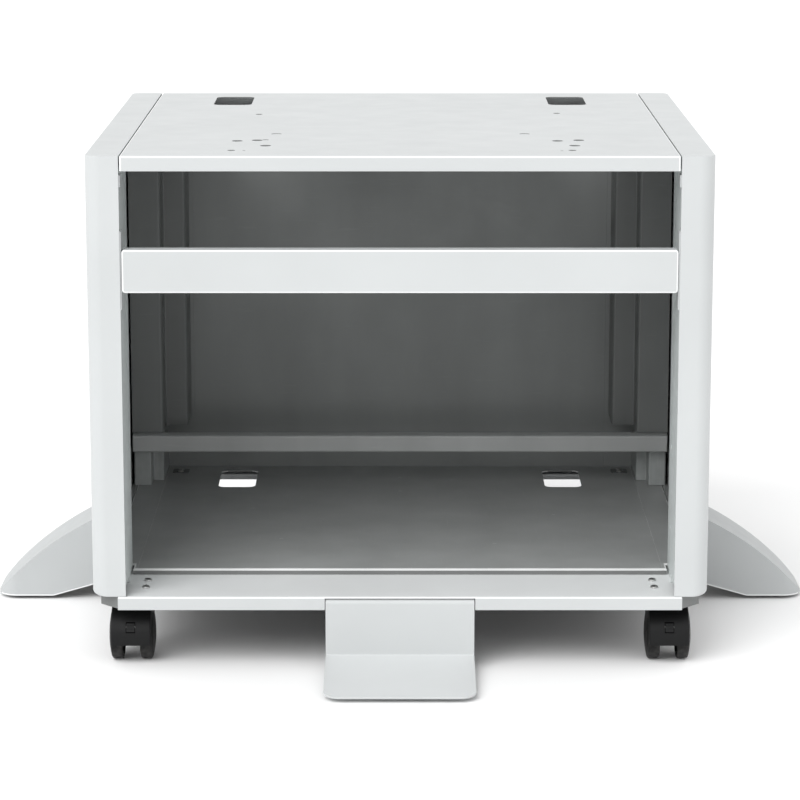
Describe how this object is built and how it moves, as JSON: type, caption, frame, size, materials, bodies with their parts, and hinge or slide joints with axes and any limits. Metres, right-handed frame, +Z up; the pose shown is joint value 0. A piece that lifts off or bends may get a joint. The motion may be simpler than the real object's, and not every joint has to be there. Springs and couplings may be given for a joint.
{
  "type": "mobile printer stand",
  "caption": "Open-fronted white sheet-metal printer stand on twin-wheel casters, with a front anti-tip foot and side stabilizers.",
  "frame": {"origin": "on the floor, under the middle of the footprint; x = 0 is the middle of the body", "axes": "+X to the viewer's right along the greatest width, -Y out of the open front, +Z up"},
  "size_m": [0.831, 0.654, 0.492],
  "materials": {
    "white_paint": "satin off-white powder coat",
    "grey_paint": "satin mid-grey powder coat",
    "floor_paint": "smooth grey coated sheet",
    "zinc_plate": "dull galvanised sheet",
    "white_plastic": "fine-textured moulded off-white plastic",
    "black_plastic": "moulded black plastic",
    "black_tread": "hard black nylon wheel",
    "steel": "zinc-plated steel"
  },
  "bodies": {
    "stand": {"top_plate": "white_paint", "rear_cover": "white_paint", "rear_panel": "grey_paint", "base_pan": "white_paint", "floor_panel": "floor_paint", "front_rail": "white_paint", "rear_crossbar": "grey_paint", "front_foot": "white_paint", "sill_screw_1": "steel", "sill_screw_2": "steel", "sill_screw_3": "steel", "sill_screw_4": "steel", "side_cover_left": "white_paint", "side_cover_right": "white_paint", "front_post_left": "zinc_plate", "front_post_right": "zinc_plate", "rear_post_left": "zinc_plate", "rear_post_right": "zinc_plate", "rear_corner_panel_left": "grey_paint", "rear_corner_panel_right": "grey_paint", "side_rail_left": "zinc_plate", "side_rail_right": "zinc_plate", "rail_bracket_left": "white_paint", "rail_bracket_right": "white_paint", "post_clip_left": "white_paint", "post_clip_right": "white_paint", "stabilizer_cover_left": "white_plastic", "stabilizer_cover_right": "white_plastic", "stabilizer_arm_left": "steel", "stabilizer_arm_right": "steel", "caster_front_left_mount": "steel", "caster_front_right_mount": "steel", "caster_rear_left_mount": "steel", "caster_rear_right_mount": "steel"},
    "caster_front_left": {"caster_front_left_hood": "black_plastic", "caster_front_left_axle": "steel", "caster_front_left_brake_pin": "steel"},
    "caster_front_left_wheel_left": {"caster_front_left_wheel_left": "black_tread"},
    "caster_front_left_wheel_right": {"caster_front_left_wheel_right": "black_tread"},
    "caster_front_left_brake_lever": {"caster_front_left_brake_lever": "black_plastic"},
    "caster_front_right": {"caster_front_right_hood": "black_plastic", "caster_front_right_axle": "steel", "caster_front_right_brake_pin": "steel"},
    "caster_front_right_wheel_left": {"caster_front_right_wheel_left": "black_tread"},
    "caster_front_right_wheel_right": {"caster_front_right_wheel_right": "black_tread"},
    "caster_front_right_brake_lever": {"caster_front_right_brake_lever": "black_plastic"},
    "caster_rear_left": {"caster_rear_left_hood": "black_plastic", "caster_rear_left_axle": "steel"},
    "caster_rear_left_wheel_left": {"caster_rear_left_wheel_left": "black_tread"},
    "caster_rear_left_wheel_right": {"caster_rear_left_wheel_right": "black_tread"},
    "caster_rear_right": {"caster_rear_right_hood": "black_plastic", "caster_rear_right_axle": "steel"},
    "caster_rear_right_wheel_left": {"caster_rear_right_wheel_left": "black_tread"},
    "caster_rear_right_wheel_right": {"caster_rear_right_wheel_right": "black_tread"}
  },
  "joints": [
    {"name": "caster_front_left_swivel", "type": "hinge", "parent": "stand", "child": "caster_front_left", "pos_m": [-0.2578, -0.156, 0.06], "axis": [0, 0, 1], "continuous": true},
    {"name": "caster_front_left_wheel_left_spin", "type": "hinge", "parent": "caster_front_left", "child": "caster_front_left_wheel_left", "pos_m": [-0.2578, -0.176, 0.025], "axis": [1, 0, 0], "continuous": true},
    {"name": "caster_front_left_wheel_right_spin", "type": "hinge", "parent": "caster_front_left", "child": "caster_front_left_wheel_right", "pos_m": [-0.2578, -0.176, 0.025], "axis": [1, 0, 0], "continuous": true},
    {"name": "caster_front_left_brake_lever_press", "type": "hinge", "parent": "caster_front_left", "child": "caster_front_left_brake_lever", "pos_m": [-0.2578, -0.2, 0.0367], "axis": [1, 0, 0], "range_deg": [0, 8]},
    {"name": "caster_front_right_swivel", "type": "hinge", "parent": "stand", "child": "caster_front_right", "pos_m": [0.2578, -0.156, 0.06], "axis": [0, 0, 1], "continuous": true},
    {"name": "caster_front_right_wheel_left_spin", "type": "hinge", "parent": "caster_front_right", "child": "caster_front_right_wheel_left", "pos_m": [0.2578, -0.176, 0.025], "axis": [1, 0, 0], "continuous": true},
    {"name": "caster_front_right_wheel_right_spin", "type": "hinge", "parent": "caster_front_right", "child": "caster_front_right_wheel_right", "pos_m": [0.2578, -0.176, 0.025], "axis": [1, 0, 0], "continuous": true},
    {"name": "caster_front_right_brake_lever_press", "type": "hinge", "parent": "caster_front_right", "child": "caster_front_right_brake_lever", "pos_m": [0.2578, -0.2, 0.0367], "axis": [1, 0, 0], "range_deg": [0, 8]},
    {"name": "caster_rear_left_swivel", "type": "hinge", "parent": "stand", "child": "caster_rear_left", "pos_m": [-0.2578, 0.265, 0.06], "axis": [0, 0, 1], "continuous": true},
    {"name": "caster_rear_left_wheel_left_spin", "type": "hinge", "parent": "caster_rear_left", "child": "caster_rear_left_wheel_left", "pos_m": [-0.2578, 0.245, 0.025], "axis": [1, 0, 0], "continuous": true},
    {"name": "caster_rear_left_wheel_right_spin", "type": "hinge", "parent": "caster_rear_left", "child": "caster_rear_left_wheel_right", "pos_m": [-0.2578, 0.245, 0.025], "axis": [1, 0, 0], "continuous": true},
    {"name": "caster_rear_right_swivel", "type": "hinge", "parent": "stand", "child": "caster_rear_right", "pos_m": [0.2578, 0.265, 0.06], "axis": [0, 0, 1], "continuous": true},
    {"name": "caster_rear_right_wheel_left_spin", "type": "hinge", "parent": "caster_rear_right", "child": "caster_rear_right_wheel_left", "pos_m": [0.2578, 0.245, 0.025], "axis": [1, 0, 0], "continuous": true},
    {"name": "caster_rear_right_wheel_right_spin", "type": "hinge", "parent": "caster_rear_right", "child": "caster_rear_right_wheel_right", "pos_m": [0.2578, 0.245, 0.025], "axis": [1, 0, 0], "continuous": true}
  ]
}
